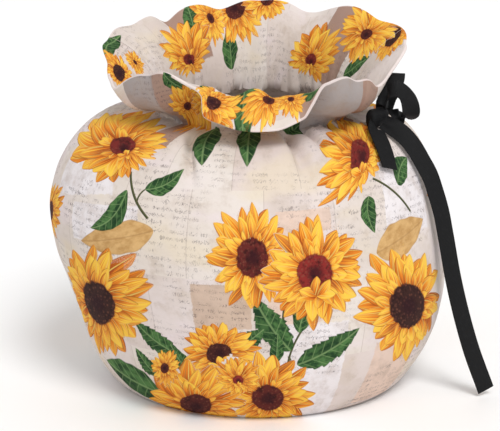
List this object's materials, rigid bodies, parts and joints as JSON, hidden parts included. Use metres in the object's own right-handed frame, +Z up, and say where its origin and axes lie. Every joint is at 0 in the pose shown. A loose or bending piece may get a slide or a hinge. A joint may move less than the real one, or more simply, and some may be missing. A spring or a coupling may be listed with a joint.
{
  "type": "tea cosy",
  "caption": "Gathered cloth tea cosy that stands on its hem, with a tied neck, an uneven frill standing above it and a ribbon bow with a long tail.",
  "frame": {"origin": "middle of the footprint, ribbon included, in the plane of the hem", "axes": "+Z up through the neck, the front looks along -Y, and the bow's long tail hangs at +X"},
  "size_m": [0.246, 0.2192, 0.2017],
  "materials": {
    "printed_cotton": "matt printed cotton, pale paper ground with sunflower-like blooms",
    "black_ribbon": "matt black woven ribbon"
  },
  "bodies": {
    "root": {"front_panel": "printed_cotton", "back_panel": "printed_cotton", "tie_knot": "black_ribbon", "tie_bow_loop": "black_ribbon", "tie_top_loop": "black_ribbon", "tie_short_tail": "black_ribbon", "tie_long_tail": "black_ribbon"}
  },
  "joints": []
}
